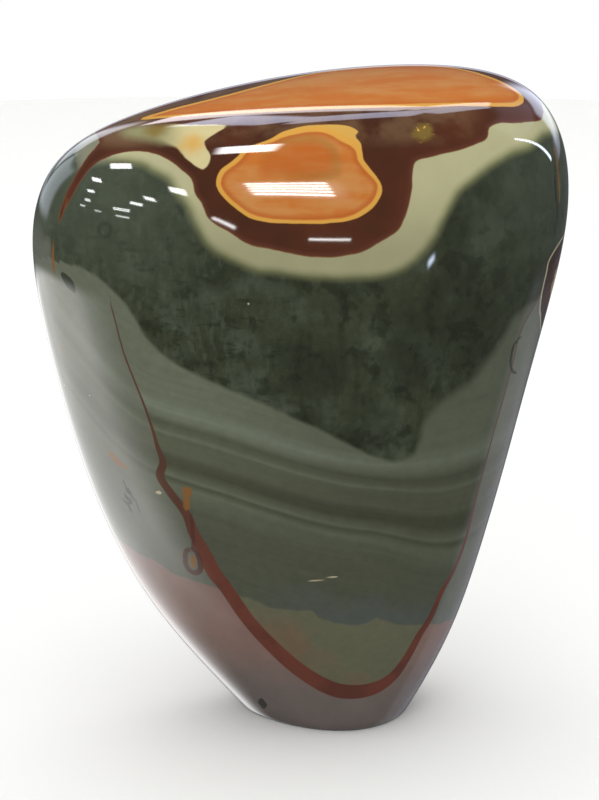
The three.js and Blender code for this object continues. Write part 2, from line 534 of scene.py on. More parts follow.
    def attributes(self, form: StoneForm, points: np.ndarray) -> dict[str, np.ndarray]:
        """Every distance that the finish reads, in millimetres.

        Args:
            form: The stone.
            points: Rows of x, y and z on the stone.

        Returns:
            One array for each named distance.
        """
        closed = ("cream_edge", "brown_edge", "eye_edge", "eye_core_edge", "eye_heart_edge", "top_eye_edge",
                  "cream_strip_edge", "dark_edge", "right_eye_edge", "back_eye_edge")
        found = {name: getattr(self, name).distances(form, points)[0] for name in closed}
        side, place = self.vein.distances(form, points)
        widths = np.array([*self.vein_widths, self.vein_widths[0]])
        found["vein_side"] = side
        found["vein_half_width"] = np.interp(place, np.arange(len(widths)), widths) / 2
        line_x, line_z = np.array(self.wavy_line, float).T
        found["wavy_height"] = points[:, 2] - np.interp(points[:, 0], line_x, line_z)
        for name in ("dark_strokes", "ochre_strokes", "brown_strokes", "pale_strokes"):
            found[name] = np.min([stroke.outside(form, points) for stroke in getattr(self, name)], axis=0)
        return found


class Graph:
    """The nodes of one material or world, and the few ways of adding to them."""

    def __init__(self, tree: bpy.types.NodeTree) -> None:
        """Starts from an empty node tree."""
        self.tree = tree
        tree.nodes.clear()

    def node(self, kind: str, settings: dict | None = None, inputs: dict | None = None) -> bpy.types.Node:
        """Adds a node.

        Args:
            kind: The node's type.
            settings: Its own settings, set first. A ramp's stops are given as "stops".
            inputs: Values, or signals to link, by the name or number of the socket.

        Returns:
            The node.
        """
        made = self.tree.nodes.new(kind)
        for name, value in (settings or {}).items():
            if name == "stops":
                self.set_stops(made.color_ramp, value)
            else:
                setattr(made, name, value)
        for socket, value in (inputs or {}).items():
            if isinstance(value, Signal):
                self.tree.links.new(value.socket, made.inputs[socket])
            else:
                made.inputs[socket].default_value = value
        return made

    @staticmethod
    def set_stops(ramp: bpy.types.ColorRamp, stops: Stops) -> None:
        """Gives a colour ramp its stops.

        Args:
            ramp: The ramp.
            stops: Pairs of place and colour.
        """
        while len(ramp.elements) < len(stops):
            ramp.elements.new(1)
        for element, (place, colour) in zip(ramp.elements, stops):
            element.position = place
            element.color = colour

    def out(self, node: bpy.types.Node, socket: str | int = 0) -> "Signal":
        """One output of a node as a signal."""
        return Signal(self, node.outputs[socket])

    def math(self, operation: str, *values: "Signal | float") -> "Signal":
        """A Math node on signals or numbers."""
        return self.out(self.node("ShaderNodeMath", {"operation": operation}, dict(enumerate(values))))

    def measure(self, name: str) -> "Signal":
        """A distance that is kept with the mesh, in millimetres."""
        return self.out(self.node("ShaderNodeAttribute", {"attribute_name": name}), "Fac")

    def fall(self, value: "Signal", full: float, none: float, fade: Fade = Fade.SOFT) -> "Signal":
        """A mask that is 1 where the value is full and 0 where it is none.

        Args:
            value: The signal that is read.
            full: The value at which the mask is 1.
            none: The value at which the mask is 0.
            fade: How it falls off between them.

        Returns:
            The mask.
        """
        low, high = min(full, none), max(full, none)
        ends = (1.0, 0.0) if full < none else (0.0, 1.0)
        inputs = {"Value": value, "From Min": low, "From Max": high, "To Min": ends[0], "To Max": ends[1]}
        return self.out(self.node("ShaderNodeMapRange", {"interpolation_type": fade.value}, inputs))

    def blend(self, under: "Signal | Colour", over: "Signal | Colour", mask: "Signal | float") -> "Signal":
        """One colour laid over another where the mask is 1.

        Args:
            under: The colour below.
            over: The colour laid over it.
            mask: How much of it shows.

        Returns:
            The mixed colour.
        """
        made = self.node("ShaderNodeMix", {"data_type": "RGBA"}, {0: mask, 6: under, 7: over})
        return Signal(self, made.outputs[2])

    def scaled(self, vector: "Signal", factor: "Signal | float") -> "Signal":
        """A vector made longer, or a colour made lighter, by a factor."""
        made = self.node("ShaderNodeVectorMath", {"operation": "SCALE"}, {0: vector, "Scale": factor})
        return self.out(made)

    def stretched(self, place: "Signal", scale: Triple, turn: Triple = (0, 0, 0)) -> "Signal":
        """A place turned and scaled along each axis, so that noise read there is drawn out."""
        inputs = {"Vector": place, "Rotation": turn, "Scale": scale}
        return self.out(self.node("ShaderNodeMapping", inputs=inputs))

    def distance(self, place: "Signal", middle: Triple) -> "Signal":
        """How far a place is from a fixed point."""
        made = self.node("ShaderNodeVectorMath", {"operation": "DISTANCE"}, {0: place, 1: middle})
        return self.out(made, "Value")

    def split(self, vector: "Signal") -> tuple["Signal", "Signal", "Signal"]:
        """The three measures of a vector."""
        made = self.node("ShaderNodeSeparateXYZ", inputs={0: vector})
        return self.out(made, "X"), self.out(made, "Y"), self.out(made, "Z")

    def vector(self, *measures: "Signal | float") -> "Signal":
        """A vector from three measures."""
        return self.out(self.node("ShaderNodeCombineXYZ", inputs=dict(enumerate(measures))))

    def dot(self, vector: "Signal", axis: Triple) -> "Signal":
        """How far a vector reaches along an axis."""
        made = self.node("ShaderNodeVectorMath", {"operation": "DOT_PRODUCT"}, {0: vector, 1: axis})
        return self.out(made, "Value")

    def noise(self, place: "Signal", size: float, detail: float = 2, seed: float = 0) -> "Signal":
        """Soft noise about 0, between about -0.5 and 0.5.

        Args:
            place: The position, in millimetres.
            size: How far apart its blotches are.
            detail: How many finer layers it has.
            seed: Moves it elsewhere in the rock.

        Returns:
            The noise.
        """
        inputs = {"Vector": place, "W": seed, "Scale": 1 / size, "Detail": detail,
                  "Roughness": NOISE_ROUGHNESS}
        made = self.node("ShaderNodeTexNoise", {"noise_dimensions": "4D"}, inputs)
        return self.out(made, "Fac") - 0.5


class Signal:
    """A node's output that can be used in Python sums."""

    def __init__(self, graph: Graph, socket: bpy.types.NodeSocket) -> None:
        """Keeps the socket and the graph that it is in."""
        self.graph = graph
        self.socket = socket

    def __add__(self, other: "Signal | float") -> "Signal":
        """The sum."""
        return self.graph.math("ADD", self, other)

    __radd__ = __add__

    def __sub__(self, other: "Signal | float") -> "Signal":
        """The difference."""
        return self.graph.math("SUBTRACT", self, other)

    def __rsub__(self, other: float) -> "Signal":
        """A number less this signal."""
        return self.graph.math("SUBTRACT", other, self)

    def __mul__(self, other: "Signal | float") -> "Signal":
        """The product."""
        return self.graph.math("MULTIPLY", self, other)

    __rmul__ = __mul__

    def __truediv__(self, other: "Signal | float") -> "Signal":
        """The quotient."""
        return self.graph.math("DIVIDE", self, other)

    def __or__(self, other: "Signal") -> "Signal":
        """The larger of two masks."""
        return self.graph.math("MAXIMUM", self, other)


def paint(*channels: int) -> Colour:
    """A colour as it looks on a screen, turned into the light values that Blender uses.

    Args:
        channels: Its red, green and blue, 0 to 255.

    Returns:
        Its red, green, blue and alpha.
    """
    shares = [channel / 255 for channel in channels]
    light = [share / 12.92 if share <= 0.04045 else ((share + 0.055) / 1.055) ** 2.4 for share in shares]
    return (*light, 1.0)


@dataclass(frozen=True)
class PolishedJasper:
    """The stone's finish: its colours, and how they lie."""

    dark_green: Colour = paint(52, 57, 42)
    blotch_green: Colour = paint(26, 29, 18)
    grey_green: Colour = paint(74, 82, 68)
    olive_grey: Colour = paint(80, 84, 70)
    pale_olive: Colour = paint(91, 97, 83)
    band_olive: Colour = paint(70, 73, 58)
    band_dark: Colour = paint(58, 60, 46)
    band_shade: Colour = paint(63, 66, 52)
    low_olive: Colour = paint(70, 73, 59)
    slate: Colour = paint(72, 76, 72)
    olive_brown: Colour = paint(88, 88, 70)
    rust_cloud: Colour = paint(104, 80, 62)
    ash_grey: Colour = paint(102, 104, 94)
    pink_grey_with_reflection: Colour = paint(117, 95, 87)
    mauve_grey_with_reflection: Colour = paint(99, 90, 85)
    vein_red: Colour = paint(94, 52, 41)
    vein_brown: Colour = paint(72, 43, 35)
    vein_olive: Colour = paint(72, 58, 44)
    cream: Colour = paint(161, 158, 123)
    cream_green: Colour = paint(112, 114, 80)
    wedge_cream: Colour = paint(198, 186, 138)
    brown: Colour = paint(82, 43, 26)
    brown_deep: Colour = paint(66, 36, 21)
    brown_haze: Colour = paint(112, 86, 62)
    yellow: Colour = paint(205, 152, 68)
    pale_yellow: Colour = paint(200, 156, 76)
    orange: Colour = paint(186, 108, 44)
    orange_deep: Colour = paint(172, 86, 32)
    orange_light: Colour = paint(190, 132, 74)
    ochre: Colour = paint(120, 81, 40)
    olive_ochre: Colour = paint(124, 102, 48)
    near_black: Colour = paint(30, 30, 24)
    eye_shadow: Colour = paint(46, 30, 25)
    scratch_and_glint: Colour = paint(170, 160, 130)
    band_span: Pair = (40, 110)
    band_tilt: float = 0.28  # how fast the bands rise to the left, in the middle of the stone
    band_bow: float = 0.0028  # how much they turn up towards both sides
    band_dip: float = 0.16  # how fast they rise from the front to the back
    front_y: float = -35
    band_drift: float = 1.5
    left_droop: float = 0.5
    steep_from: float = -50  # left of here they rise more steeply
    steep_blend: float = 16
    steepness: float = 0.4
    pale_band_foot: float = 89
    pale_band_crowding: float = 0.4
    yellow_spot: Triple = (-35, -28, 175)
    olive_patch: Triple = (-45, -19, 177)
    olive_spot: Triple = (26, -30.5, 178)
    faint_ring: Triple = (-58.5, -29, 151.7)
    faint_ring_radius: float = 1.8
    glint_pit_spacing: float = 9
    roughness: float = 0.035
    roughness_spread: float = 0.03
    ior: float = 1.54

    def dress(self, piece: bpy.types.Object) -> None:
        """Gives a piece this finish.

        Args:
            piece: The piece.
        """
        material = bpy.data.materials.new("polished_jasper")
        material.use_nodes = True
        graph = Graph(material.node_tree)
        place = graph.scaled(graph.out(graph.node("ShaderNodeTexCoord"), "Object"), 1 / MM)
        colour = self.body(graph, place)
        colour = self.vein(graph, place, colour)
        colour = self.cap(graph, place, colour)
        colour = self.eyes(graph, place, colour)
        colour = self.small_marks(graph, place, colour)
        surface = graph.node(
            "ShaderNodeBsdfPrincipled",
            inputs={
                "Base Color": colour,
                "Roughness": graph.noise(place, 14, seed=9) * self.roughness_spread + self.roughness,
                "IOR": self.ior,
            },
        )
        output = graph.node("ShaderNodeOutputMaterial")
        graph.tree.links.new(surface.outputs[0], output.inputs["Surface"])
        piece.data.materials.clear()
        piece.data.materials.append(material)

    def body(self, graph: Graph, place: Signal) -> Signal:
        """The green body of the stone with its bands.

        Args:
            graph: The material's nodes.
            place: The position, in millimetres.

        Returns:
            The colour.
        """
        x, y, z = graph.split(place)
        level = self.band_level(graph, place)
        low, high = self.band_span
        stops = [((at - low) / (high - low), shade) for at, shade in self.bands()]
        share = (level - low) * (1 / (high - low))
        colour = graph.out(graph.node("ShaderNodeValToRGB", {"stops": stops}, {0: share}))
        layers = graph.noise(graph.vector(x * 0.05, y * 0.05, level), 1.6, 3, seed=7)
        colour = graph.scaled(colour, layers * 0.34 + 1.0)
        left_pallor = graph.fall(x, -50, 30) * (graph.fall(z, 92, 60) * 0.36 + 0.1)
        colour = graph.scaled(colour, left_pallor + 0.94)
        waves = self.above_waves(graph, place)
        slate = graph.fall(waves + graph.noise(place, 14, 3, seed=15) * 8, 2, 12) * graph.fall(x, 4, -26)
        colour = graph.blend(colour, self.slate, slate * 0.8)
        warm_mask = graph.fall(graph.noise(place, 16, 2, seed=3) + x * 0.006, -0.22, 0.02)
        warm = graph.blend(self.olive_brown, self.rust_cloud, warm_mask * graph.fall(z, 35, 45) * 0.6)
        colour = graph.blend(colour, warm, graph.fall(waves, -0.5, 0.5))
        dark = graph.measure("dark_edge") + graph.noise(place, 9, 2, seed=4) * 1.2
        dark = dark / (graph.fall(x, 40, 14) * 1.6 + 0.8)
        colour = graph.blend(colour, self.deep_green(graph, place), graph.fall(dark, -1, 1))
        return graph.scaled(colour, graph.noise(place, 2.5, 5, seed=6) * 0.34 + 1.0)

    def bands(self) -> Stops:
        """The bands across the stone from low to high.

        Returns:
            Pairs of level, in millimetres, and colour.
        """
        low, high = self.band_span
        return [
            (low, self.low_olive),
            (64, self.low_olive),
            (70, self.olive_grey),
            (71.2, self.band_olive),
            (72, self.band_shade),
            (73, self.olive_grey),
            (74.6, self.band_olive),
            (76.4, self.band_dark),
            (78.2, self.band_dark),
            (80.4, self.band_olive),
            (85, self.band_olive),
            (85.9, self.olive_grey),
            (87, self.band_olive),
            (88.8, self.band_shade),
            (90.6, self.olive_grey),
            (92.8, self.pale_olive),
            (96.5, self.olive_grey),
            (high, self.olive_grey),
        ]

    def band_level(self, graph: Graph, place: Signal) -> Signal:
        """The height of each place among the bands, as if they lay level.

        Args:
            graph: The material's nodes.
            place: The position, in millimetres.

        Returns:
            The level, in millimetres where the bands are widest.
        """
        x, y, z = graph.split(place)
        drift = graph.noise(place, 30, 1, seed=1) * self.band_drift
        level = z + x * self.band_tilt - x * x * self.band_bow - (y - self.front_y) * self.band_dip + drift
        leftwards = graph.math("SMOOTH_MAX", x, self.steep_from, self.steep_blend) * (-1 / self.steep_blend)
        steep = graph.math("SMOOTH_MIN", x - self.steep_from, 0, self.steep_blend) * self.steepness
        level = level + graph.math("EXPONENT", leftwards) * self.left_droop + steep
        crowding = graph.fall(x, 42, 12) * self.pale_band_crowding + 1
        return (level - self.pale_band_foot) / crowding + self.pale_band_foot

    @staticmethod
    def above_waves(graph: Graph, place: Signal) -> Signal:
        """How far each place is above the wavy line, under which the rock is warmer.

        Args:
            graph: The material's nodes.
            place: The position, in millimetres.

        Returns:
            The height above the line, in millimetres.
        """
        return graph.measure("wavy_height") + graph.noise(place, 6, 3, seed=2) * 2

    def deep_green(self, graph: Graph, place: Signal) -> Signal:
        """The dark mottled green in the middle of the stone.

        Args:
            graph: The material's nodes.
            place: The position, in millimetres.

        Returns:
            The colour.
        """
        x, _, z = graph.split(place)
        clouds = graph.fall(graph.noise(place, 26, 3, seed=5) + x * 0.003, 0.16, -0.06)
        upright = graph.stretched(place, (1, 1, 0.35))
        smears = graph.fall(graph.noise(upright, 3, 4, seed=8), 0.16, 0.0)
        brushed = graph.fall(graph.noise(upright, 1.6, 3, seed=18), 0.2, 0.0) * graph.fall(x, -24, -2)
        level = graph.stretched(place, (0.3, 0.3, 1))
        scored = graph.fall(graph.noise(level, 1.3, 3, seed=19), 0.2, 0.04) * graph.fall(x, -20, 6)
        spots = graph.fall(graph.noise(place, 7, 6, seed=10), 0.11, 0.03)
        pale = graph.fall(graph.noise(place, 12, 6, seed=11), 0.14, -0.02)
        colour = graph.blend(self.dark_green, self.grey_green, pale * 0.5)
        colour = graph.blend(colour, self.blotch_green, clouds * 0.5)
        colour = graph.blend(colour, self.blotch_green, smears * 0.35)
        colour = graph.blend(colour, self.blotch_green, spots * 0.55)
        colour = graph.blend(colour, self.grey_green, brushed * 0.4)
        colour = graph.blend(colour, self.blotch_green, scored * 0.5)
        colour = graph.scaled(colour, graph.noise(place, 1.8, 4, seed=17) * 0.75 + 1.0)
        shoulder = graph.fall(x, -60, -18) * graph.fall(z, 160, 128)
        right_shoulder = graph.fall(x, 60, 26) * graph.fall(z, 165, 125) * 0.7
        return graph.blend(colour, self.grey_green, (shoulder | right_shoulder) * 0.65)

    def vein(self, graph: Graph, place: Signal, under: Signal) -> Signal:
        """The red-brown vein, and the paler rock outside its loop, low down under a painted reflection of
        the pale floor.

        Args:
            graph: The material's nodes.
            place: The position, in millimetres.
            under: The colour so far.

        Returns:
            The colour.
        """
        x, _, z = graph.split(place)
        side = graph.measure("vein_side")
        outside = graph.fall(side, 0.3, -0.2)
        colour = graph.blend(under, self.ash_grey, outside * graph.fall(z, 118, 146) * 0.5)
        ragged = graph.noise(place, 5, 3, seed=12) * 7
        left_edge = graph.fall(x + ragged, -74.5, -73) * graph.fall(z + ragged * 2, 143, 156)
        colour = graph.blend(colour, self.ash_grey, left_edge * 0.7)
        # Painted reflection: low down outside the loop, the pink-grey to mauve-grey is the rock's colour and
        # a painted reflection of the pale floor in one.
        cloudy_height = z + graph.noise(place, 20, 2, seed=12) * 14
        low = graph.blend(self.pink_grey_with_reflection, self.mauve_grey_with_reflection, graph.fall(cloudy_height, 10, 34))
        below_waves = graph.fall(self.above_waves(graph, place), -0.5, 0.5)
        colour = graph.blend(colour, low, outside * below_waves)
        colour = graph.scaled(colour, graph.noise(place, 9, 6, seed=16) * outside * 0.4 + 1.0)
        streak_mask = graph.fall(graph.noise(place, 8, 3, seed=13), 0.15, -0.1)
        streak = graph.blend(self.vein_red, self.vein_brown, streak_mask * 0.6)
        streak = graph.blend(streak, self.vein_olive, graph.fall(z, 85, 50) * 0.55)
        from_middle = graph.math("ABSOLUTE", side + graph.noise(place, 5, 2, seed=14) * 0.3)
        edge = from_middle - graph.measure("vein_half_width")
        return graph.blend(colour, streak, graph.fall(edge, -0.1, 0.2))

    def cap(self, graph: Graph, place: Signal, under: Signal) -> Signal:
        """The cream band, and the brown cap above it.

        Args:
            graph: The material's nodes.
            place: The position, in millimetres.
            under: The colour so far.

        Returns:
            The colour.
        """
        x, _, z = graph.split(place)
        rim = graph.measure("cream_edge") + graph.noise(place, 12, 3, seed=21) * 1.6
        cream = graph.blend(self.cream, self.cream_green, graph.fall(rim, -0.6, -3.6))
        # Painted shade and light: the cream is darker low down and lighter near the top, as light falls from
        # above.
        cream = graph.scaled(cream, graph.fall(z, 166, 146) * 0.34 + 0.8)
        cream = graph.scaled(cream, graph.noise(place, 7, 5, seed=22) * 0.2 + 1.0)
        cream = graph.blend(cream, self.ash_grey, graph.fall(x, -62, -54) * 0.75)
        colour = graph.blend(under, cream, graph.fall(rim, -2.2, 0.8))
        edge = graph.measure("brown_edge") + graph.noise(place, 4, 4, seed=23) * 0.7
        patches = graph.fall(graph.noise(place, 20, 3, seed=24), 0.2, -0.2)
        brown = graph.blend(self.brown, self.brown_deep, patches)
        haze = graph.fall(z, 178, 174) * graph.fall(graph.noise(place, 9, 4, seed=27), 0.1, -0.15)
        brown = graph.blend(brown, self.brown_haze, haze * graph.fall(x, 34, 44) * 0.55)
        brown = graph.blend(brown, self.vein_red, graph.fall(edge, -0.4, -1.8) * 0.5)
        brown = graph.blend(brown, self.ochre, graph.fall(edge, 0.0, -0.5) * 0.6)
        speckled = self.spot(graph, place, self.olive_spot, 1.0, 4.0)
        brown = graph.blend(brown, self.olive_ochre, speckled * 0.8)
        flecks = graph.fall(graph.noise(place, 1.4, 2, seed=25), 0.2, 0.12)
        brown = graph.blend(brown, self.pale_yellow, flecks * speckled)
        colour = graph.blend(colour, brown, graph.fall(edge, -0.2, 0.2))
        tail_haze = graph.fall(x, -54, -42) * graph.fall(z, 174.5, 171)
        colour = graph.blend(colour, self.brown_haze, tail_haze * graph.fall(edge, -2.2, 0.0) * 0.8)
        crispness = graph.fall(x, -34, -44) * 1.6 + 0.22
        strip = (graph.measure("cream_strip_edge") + graph.noise(place, 4, 3, seed=26) * 0.9) * crispness
        pale = graph.blend(self.wedge_cream, self.cream_green, graph.fall(x, -46, -34) * 0.75)
        pale = graph.scaled(pale, graph.noise(place, 8, 4, seed=28) * 0.35 + 1.0)
        pale = graph.blend(pale, self.pale_yellow, self.spot(graph, place, self.yellow_spot, 0.0, 5.5) * 0.9)
        pale = graph.blend(pale, self.olive_ochre, self.spot(graph, place, self.olive_patch, 1.0, 5.5) * 0.9)
        return graph.blend(colour, pale, graph.fall(strip, -0.5, 0.5))

    @staticmethod
    def spot(graph: Graph, place: Signal, middle: Triple, full: float, none: float) -> Signal:
        """The mask of one soft ragged blotch.

        Args:
            graph: The material's nodes.
            place: The position, in millimetres.
            middle: The middle of the blotch.
            full: How far from there the mask is still 1.
            none: How far from there it is 0.

        Returns:
            The mask.
        """
        ragged = graph.distance(place, middle) + graph.noise(place, 3, 3, seed=29) * 4
        return graph.fall(ragged, full, none)

    def eyes(self, graph: Graph, place: Signal, under: Signal) -> Signal:
        """The yellow-rimmed orange eyes.

        Args:
            graph: The material's nodes.
            place: The position, in millimetres.
            under: The colour so far.

        Returns:
            The colour.
        """
        x, _, z = graph.split(place)
        flow = graph.noise(graph.stretched(place, (0.22, 0.5, 1.3), (0, 0.06, 0)), 3.2, 4, seed=31)
        orange = graph.blend(self.orange, self.orange_light, graph.fall(flow, 0.16, -0.12) * 0.8)
        wobble = graph.noise(place, 5, 3, seed=32) * 0.6
        eye = graph.measure("eye_edge") + wobble
        core = graph.measure("eye_core_edge") + wobble
        heart = graph.measure("eye_heart_edge") + graph.noise(place, 5, 3, seed=33) * 2
        rim = graph.blend(self.yellow, self.pale_yellow, graph.fall(core, 2.4, 1.2))
        colour = graph.blend(under, rim, graph.fall(eye, -0.3, 0.1))
        tan = graph.noise(place, 14, 3, seed=34)
        inner = graph.blend(orange, self.orange_light, graph.fall(tan, 0.12, -0.04) * 0.6)
        inner = graph.blend(inner, self.orange_deep, graph.fall(core, -0.2, -2.0) * 0.75)
        inner = graph.blend(inner, self.orange_deep, graph.fall(heart, -3.0, 1.5) * 0.5)
        olive = graph.fall(graph.math("ABSOLUTE", heart + 0.6), 0.2, 2.4) * graph.fall(x + z, 164, 152)
        inner = graph.blend(inner, self.olive_ochre, olive * 0.28)
        colour = graph.blend(colour, inner, graph.fall(core, -0.4, 0.3))
        for name, rim_width in (("top_eye_edge", 1.5), ("back_eye_edge", 1.4)):
            other = graph.measure(name) + wobble
            colour = graph.blend(colour, self.yellow, graph.fall(other, -0.3, 0.1))
            inside = other + rim_width
            inner = graph.blend(orange, self.orange_deep, graph.fall(inside, -0.4, -3) * 0.5)
            colour = graph.blend(colour, inner, graph.fall(inside, -0.5, 0.1))
        right = graph.measure("right_eye_edge") + wobble
        colour = graph.blend(colour, self.scratch_and_glint, graph.fall(right, -0.1, 0.3) * 0.8)
        colour = graph.blend(colour, self.eye_shadow, graph.fall(right, -0.9, -0.5))
        colour = graph.blend(colour, self.brown_deep, graph.fall(right + tan * 9, -5.0, -3.6))
        colour = graph.blend(colour, self.cream, graph.fall(right + tan * 5, -9.0, -8.4))
        return graph.blend(colour, self.orange, graph.fall(right + tan * 4, -11.0, -10.4))

    def small_marks(self, graph: Graph, place: Signal, under: Signal) -> Signal:
        """Fine dark and ochre strokes, pale scratches, and rare pits with a painted glint.

        Args:
            graph: The material's nodes.
            place: The position, in millimetres.
            under: The colour so far.

        Returns:
            The colour.
        """
        wobble = graph.noise(place, 2, 2, seed=41) * 0.6
        ochre = graph.fall(graph.measure("ochre_strokes") + wobble, -0.3, 0.3)
        colour = graph.blend(under, self.ochre, ochre * 0.85)
        brown = graph.fall(graph.measure("brown_strokes") + wobble * 0.5, -0.1, 0.3)
        colour = graph.blend(colour, self.vein_brown, brown * 0.85)
        dark = graph.fall(graph.measure("dark_strokes") + wobble * 0.5, -0.1, 0.3)
        colour = graph.blend(colour, self.near_black, dark * 0.75)
        away = graph.distance(place, self.faint_ring) - self.faint_ring_radius
        ring = graph.fall(graph.math("ABSOLUTE", away + wobble), 0.2, 0.9)
        colour = graph.blend(colour, self.near_black, ring * 0.3)
        # Rare pits in the polish, painted pale as small glints of light.
        inputs = {"Vector": place, "Scale": 1 / self.glint_pit_spacing}
        glint_pits = graph.node("ShaderNodeTexVoronoi", {"feature": "F1"}, inputs)
        shade = graph.node("ShaderNodeSeparateColor", inputs={0: graph.out(glint_pits, "Color")})
        rare = graph.fall(graph.out(shade), 0.8, 0.7)
        from_glint_pit = graph.out(glint_pits, "Distance") * self.glint_pit_spacing
        colour = graph.blend(colour, self.scratch_and_glint, graph.fall(from_glint_pit, 0.2, 0.45) * rare)
        return graph.blend(colour, self.scratch_and_glint, graph.fall(graph.measure("pale_strokes"), -0.1, 0.15))


@dataclass
class Stone:
    """The freeform itself."""

    name: str = "jasper_freeform"
    columns: int = 380  # round the stone
    rings: int = 250  # from the middle of the top to the middle of the foot
    foot_rings: int = 6
    crowding: float = 1.25  # over 1 sets the rings closer towards the rounded top edge
    form: StoneForm = field(default_factory=StoneForm)
    markings: Markings = field(default_factory=Markings)
    finish: PolishedJasper = field(default_factory=PolishedJasper)

    def skin(self) -> tuple[np.ndarray, Faces]:
        """The stone's surface, in rings from the middle of the top to the middle of the foot.

        Returns:
            The vertices in millimetres, and the faces.
        """
        form = self.form
        waist = np.array([0, 0, form.waist_height], float)
        bearings = np.arange(self.columns) * 2 * math.pi / self.columns
        outwards = np.stack([np.cos(bearings), np.sin(bearings), np.zeros(self.columns)], axis=1)
        bevel_top = np.array([0, 0, form.foot_bevel], float)
        foot_edge = form.surface(bevel_top, outwards)
        reach = np.linalg.norm(foot_edge[:, :2], axis=1)
        lowest = math.pi - np.arctan2(reach, form.waist_height - form.foot_bevel)
        up = np.array([0.0, 0.0, 1.0])
        ways = [up[None]]
        skin_rings = self.rings - self.foot_rings
        for ring in range(1, skin_rings + 1):
            angle = (lowest * (ring / skin_rings) ** self.crowding)[:, None]
            ways.append(outwards * np.sin(angle) + up * np.cos(angle))
        rows = [form.surface(waist, np.concatenate(ways))]
        for ring in range(self.foot_rings):
            inset = 1 - ring / self.foot_rings
            rows.append(outwards * (reach - form.foot_bevel)[:, None] * inset)
        rows.append(np.zeros((1, 3)))
        vertices = np.concatenate(rows)
        return vertices, self.faces()

    def faces(self) -> Faces:
        """The faces between the rings.

        Returns:
            The vertex numbers of each face.
        """
        column = np.arange(self.columns)
        after = (column + 1) % self.columns
        found = [(0, 1 + int(a), 1 + int(b)) for a, b in zip(column, after)]
        for ring in range(self.rings - 1):
            upper, lower = 1 + ring * self.columns, 1 + (ring + 1) * self.columns
            found += list(zip(upper + column, lower + column, lower + after, upper + after))
        last = 1 + (self.rings - 1) * self.columns
        foot = last + self.columns
        found += [(last + int(a), foot, last + int(b)) for a, b in zip(column, after)]
        return [tuple(int(i) for i in face) for face in found]

    def build(self) -> bpy.types.Object:
        """Makes the piece, keeps its distances and dresses it.

        Returns:
            The piece.
        """
        vertices, faces = self.skin()
        mesh = bpy.data.meshes.new(self.name)
        mesh.from_pydata((vertices * MM).tolist(), [], faces)
        mesh.update()
        mesh.shade_smooth()
        for name, values in self.markings.attributes(self.form, vertices).items():
            kept = mesh.attributes.new(name, "FLOAT", "POINT")
            kept.data.foreach_set("value", values.astype(np.float32))
        piece = bpy.data.objects.new(self.name, mesh)
        bpy.context.scene.collection.objects.link(piece)
        self.finish.dress(piece)
        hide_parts("stone")
        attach(piece, "root")
        return piece


@dataclass(frozen=True)
class SoftLight:
    """One soft light of the studio, in metres and watts. It isn't seen in the polish."""

    name: str
    place: Triple
    aim: Triple
    size: Pair
    power: float

    def hang(self) -> None:
        """Hangs the light in the scene."""
        data = bpy.data.lights.new(self.name, "AREA")
        data.shape = "RECTANGLE"
        data.size, data.size_y = self.size
        data.energy = self.power
        lamp = bpy.data.objects.new(self.name, data)
        lamp.location = self.place
        way = Vector(self.aim) - Vector(self.place)
        lamp.rotation_euler = way.to_track_quat("-Z", "Y").to_euler()
        lamp.visible_camera = False
        lamp.visible_glossy = False
        bpy.context.scene.collection.objects.link(lamp)


@dataclass(frozen=True)
class ReflectedPanel:
    """A soft bright panel of the room that only shows as a reflection in the polish.

    The angles are in degrees. A bearing of 0 is in front of the stone, and 90 on its right.
    """

    bearing: float
    half_width: float
    side_fade: float
    heights: Pair
    height_fades: Pair
    light: Triple

    def over(self, graph: Graph, way: Signal, height: Signal, under: Signal | Colour) -> Signal:
        """The room with this panel in it.

        Args:
            graph: The world's nodes.
            way: The direction looked in.
            height: Its angle above level.
            under: The room so far.

        Returns:
            The room's light.
        """
        turn = math.radians(self.bearing)
        ahead = graph.dot(way, (math.sin(turn), -math.cos(turn), 0))
        across = graph.dot(way, (math.cos(turn), math.sin(turn), 0))
        away = graph.math("ABSOLUTE", graph.math("ARCTAN2", across, ahead)) * math.degrees(1)
        low, high = self.heights
        low_fade, high_fade = self.height_fades
        mask = graph.fall(away, self.half_width, self.half_width + self.side_fade)
        mask = mask * graph.fall(height, low, low - low_fade) * graph.fall(height, high, high + high_fade)
        return graph.blend(under, (*self.light, 1.0), mask)


@dataclass(frozen=True)
class ReflectedTube:
    """A far lamp of the room that only shows as a small highlight in the polish.

    It runs from one direction to another. Its width is as seen from one unit away. The depth of a
    direction is 1 straight towards the lamp and 0 at a right angle to it.
    """

    start: Triple
    end: Triple
    half_width: float
    light: Triple
    fade: float = 0.006
    lean: float = 0.0
    strips: int = 0
    least_depth: float = 0.05
    shown_depth: float = 0.4
    hidden_depth: float = 0.2
    strip_edges: Pair = (0.34, 0.12)
    gap_light: float = 0.05

    def over(self, graph: Graph, way: Signal, height: Signal, under: Signal) -> Signal:
        """The room with this lamp in it.

        Args:
            graph: The world's nodes.
            way: The direction looked in.
            height: Its angle above level, which this lamp doesn't need.
            under: The room so far.

        Returns:
            The room's light.
        """
        start, end = Vector(self.start), Vector(self.end)
        half_length = (end - start).length / 2
        ahead = (start + end).normalized()
        along = end - start
        along = (along - ahead * along.dot(ahead)).normalized()
        depth = graph.math("MAXIMUM", graph.dot(way, tuple(ahead)), self.least_depth)
        rise = graph.dot(way, tuple(ahead.cross(along))) / depth
        run = graph.dot(way, tuple(along)) / depth + rise * self.lean
        mask = graph.fall(depth, self.shown_depth, self.hidden_depth)
        for measure, half in ((run, half_length), (rise, self.half_width)):
            away = graph.math("ABSOLUTE", measure)
            mask = mask * graph.fall(away, half - self.fade, half + self.fade)
        if self.strips:
            phase = (rise + self.half_width) * (self.strips / (2 * self.half_width))
            strip = graph.fall(graph.math("PINGPONG", phase, 0.5), *self.strip_edges)
            mask = mask * (strip * (1 - self.gap_light) + self.gap_light)
        return graph.blend(under, (*self.light, 1.0), mask)


